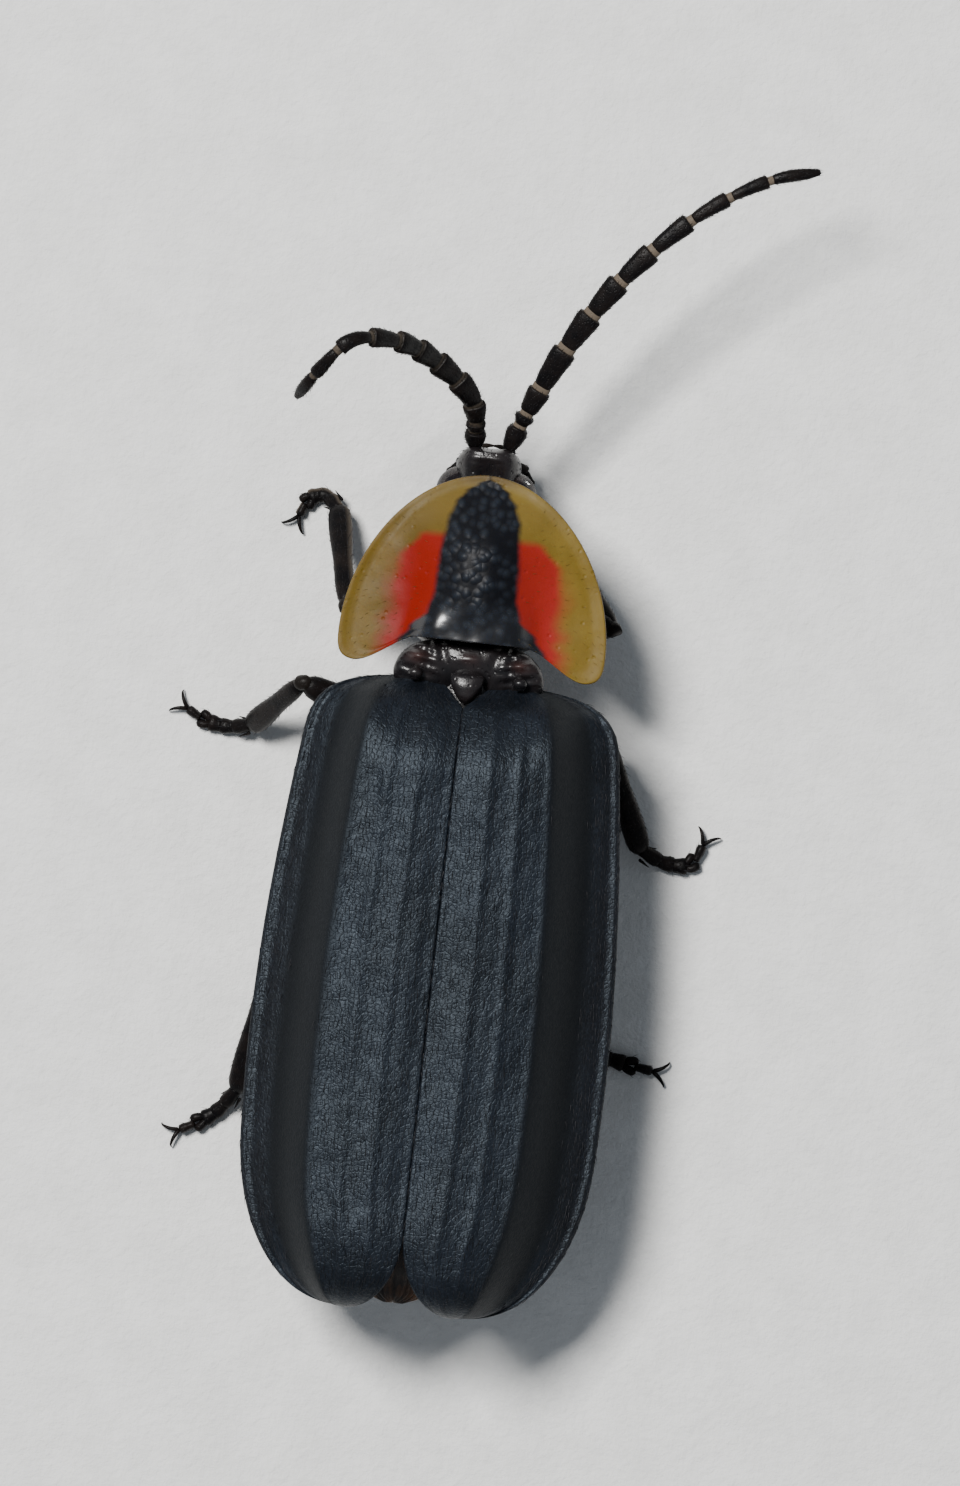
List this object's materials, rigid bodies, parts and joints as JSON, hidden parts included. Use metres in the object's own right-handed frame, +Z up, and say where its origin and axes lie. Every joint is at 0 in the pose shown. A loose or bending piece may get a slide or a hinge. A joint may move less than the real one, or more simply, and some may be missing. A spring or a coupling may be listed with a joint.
{
  "type": "black firefly beetle model",
  "caption": "Life-size model of a standing black firefly with a rounded ochre pronotum shield, long soft wing covers and segmented antennae.",
  "frame": {"origin": "middle of the footprint of the whole animal, on the floor that its feet stand on", "axes": "+Z up from the floor, +Y from the head towards the tip of the wing covers, +X towards the animal's left side"},
  "size_m": [0.0077, 0.0149, 0.0046],
  "materials": {
    "wing_cover": "leathery black wing cover, finely grained, with a faint blue-grey sheen",
    "pronotum_shield": "satin ochre horn with two red spots and a black middle band",
    "glossy_cuticle": "polished black insect cuticle",
    "eye": "black faceted compound eye",
    "limb_cuticle": "dark brown-black cuticle with fine short hair",
    "belly_cuticle": "dark brown overlapping belly plates with paler edges",
    "wing_membrane": "smoky brown membrane of the folded hind wings"
  },
  "bodies": {
    "root": {"head": "glossy_cuticle", "eye_left": "eye", "eye_right": "eye", "antenna_left": "limb_cuticle", "antenna_right": "limb_cuticle", "mouthparts": "glossy_cuticle", "pronotum": "pronotum_shield", "prothorax": "glossy_cuticle", "scutellum": "glossy_cuticle", "thorax": "glossy_cuticle", "abdomen": "belly_cuticle", "hind_wings": "wing_membrane", "elytron_left": "wing_cover", "elytron_right": "wing_cover", "leg_front_left": "limb_cuticle", "leg_front_right": "limb_cuticle", "leg_mid_left": "limb_cuticle", "leg_mid_right": "limb_cuticle", "leg_hind_left": "limb_cuticle", "leg_hind_right": "limb_cuticle"}
  },
  "joints": []
}
